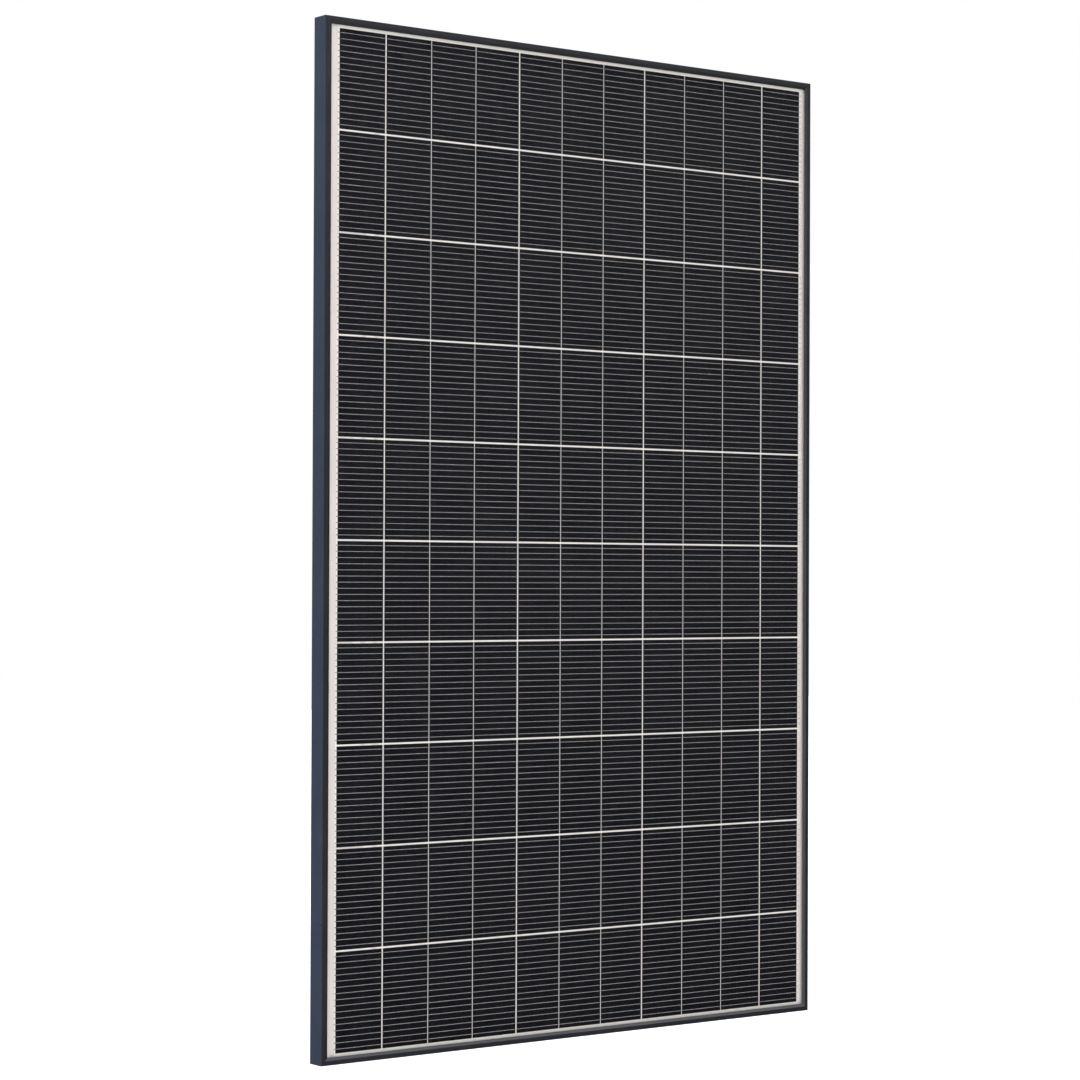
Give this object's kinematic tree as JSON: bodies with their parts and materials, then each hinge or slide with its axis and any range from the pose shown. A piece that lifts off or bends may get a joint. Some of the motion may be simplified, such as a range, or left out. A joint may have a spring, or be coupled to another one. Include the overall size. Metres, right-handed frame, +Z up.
{
  "type": "solar panel",
  "caption": "Framed glass solar panel with rows of tall dark cells, fine wires, a white margin and a black frame, and a junction box behind.",
  "frame": {"origin": "middle of the bottom rail's lower face, halfway through the frame's depth", "axes": "+X to the right seen from the glass side, +Y from the glass front to the back, +Z up the panel's length"},
  "size_m": [1.173, 0.038, 1.8866],
  "materials": {
    "frame": "black anodised, satin",
    "keys": "mill finish",
    "glass": "clear, tempered",
    "encapsulant": "clear, matt side against the cells",
    "cells": "dark, anti-reflection coated",
    "wires": "tinned copper, solder bright",
    "ribbons": "tinned copper, white coated on its front",
    "white_sheet": "white, satin",
    "insulation": "white film",
    "seal": "black silicone",
    "box": "black, fine texture",
    "rubber": "matt",
    "tin": "tinned",
    "screws": "zinc plated",
    "diode": "black moulded",
    "paper": "blank label stock"
  },
  "bodies": {
    "panel": {"backsheet": "white_sheet", "bus_ribbons_left": "ribbons", "bus_ribbons_right": "ribbons", "bypass_diodes": "diode", "cell_row_01": "cells", "cell_row_02": "cells", "cell_row_03": "cells", "cell_row_04": "cells", "cell_row_05": "cells", "cell_row_06": "cells", "cell_row_07": "cells", "cell_row_08": "cells", "cell_row_09": "cells", "cell_row_10": "cells", "cell_wires_01": "wires", "cell_wires_02": "wires", "cell_wires_03": "wires", "cell_wires_04": "wires", "cell_wires_05": "wires", "cell_wires_06": "wires", "cell_wires_07": "wires", "cell_wires_08": "wires", "cell_wires_09": "wires", "cell_wires_10": "wires", "corner_key_lower_left": "keys", "corner_key_lower_right": "keys", "corner_key_upper_left": "keys", "corner_key_upper_right": "keys", "cover_strip": "insulation", "edge_seal": "seal", "frame_rail_bottom": "frame", "frame_rail_left": "frame", "frame_rail_right": "frame", "frame_rail_top": "frame", "front_encapsulant": "encapsulant", "front_glass": "glass", "gland_seal_lower": "rubber", "gland_seal_upper": "rubber", "insulation_strips": "insulation", "junction_box_body": "box", "junction_box_hinge_pin": "screws", "junction_box_lid_seal": "rubber", "junction_box_pad": "rubber", "rating_label": "paper", "rear_encapsulant": "white_sheet", "tap_ribbons": "tin", "terminal_blocks": "tin", "terminal_screws": "screws"},
    "junction_box_lid": {"junction_box_lid": "box"},
    "gland_nut_upper": {"gland_nut_upper": "box"},
    "gland_nut_lower": {"gland_nut_lower": "box"}
  },
  "joints": [
    {"name": "lid_hinge", "type": "hinge", "parent": "panel", "child": "junction_box_lid", "pos_m": [-0.4965, 0.01097, 1.002], "axis": [1, 0, 0], "range_deg": [0, 110]},
    {"name": "upper_gland_nut_turn", "type": "hinge", "parent": "panel", "child": "gland_nut_upper", "pos_m": [-0.4425, 0.00067, 0.9753], "axis": [1, 0, 0], "continuous": true},
    {"name": "lower_gland_nut_turn", "type": "hinge", "parent": "panel", "child": "gland_nut_lower", "pos_m": [-0.4425, 0.00067, 0.9113], "axis": [1, 0, 0], "continuous": true}
  ]
}
